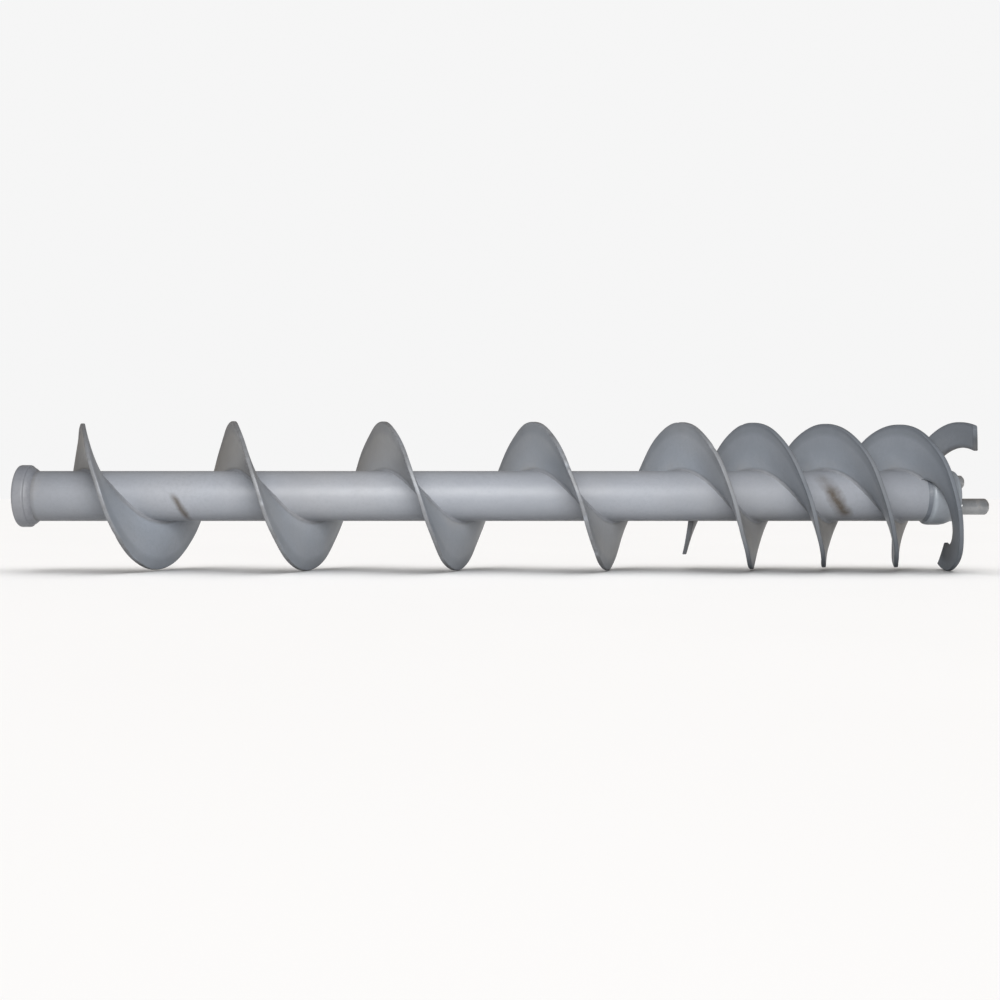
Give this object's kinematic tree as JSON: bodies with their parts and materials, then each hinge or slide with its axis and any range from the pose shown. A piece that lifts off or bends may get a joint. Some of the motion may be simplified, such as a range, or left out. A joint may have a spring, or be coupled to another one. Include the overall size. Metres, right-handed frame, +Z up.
{
  "type": "mortar mixer auger shaft",
  "caption": "Welded screw shaft of a continuous mortar mixer: a tube with a feed flight, a second start, free ribbon ends and an offset two-pin driver hub.",
  "frame": {"origin": "on the shaft's axis, at the drive face, in the mouth of the keyed bore", "axes": "+X along the shaft from the drive face to the driver pins, +Z up, with the flight's first crest at the top"},
  "size_m": [0.9595, 0.1492, 0.1493],
  "materials": {
    "paint_grey": "semi-gloss silver-grey primer, worn and dusty",
    "flight_paint": "semi-gloss silver-grey primer over rolled steel plate, edges worn",
    "weld_painted": "paint over rippled weld bead",
    "bare_steel": "bare turned steel with light rust"
  },
  "bodies": {
    "root": {"shaft_tube": "paint_grey", "drive_collar": "paint_grey", "collar_weld": "weld_painted", "drive_bush": "bare_steel", "bush_weld": "weld_painted", "main_flight_1": "flight_paint", "main_flight_2": "flight_paint", "main_flight_3": "flight_paint", "main_flight_4": "flight_paint", "main_flight_5": "flight_paint", "main_flight_6": "flight_paint", "main_ribbon": "flight_paint", "second_flight_1": "flight_paint", "second_flight_2": "flight_paint", "second_ribbon": "flight_paint", "main_root_weld": "weld_painted", "second_root_weld": "weld_painted", "seam_welds": "weld_painted", "driver_hub": "paint_grey", "hub_weld": "weld_painted", "long_driver_pin": "bare_steel", "short_driver_pin": "bare_steel"}
  },
  "joints": []
}
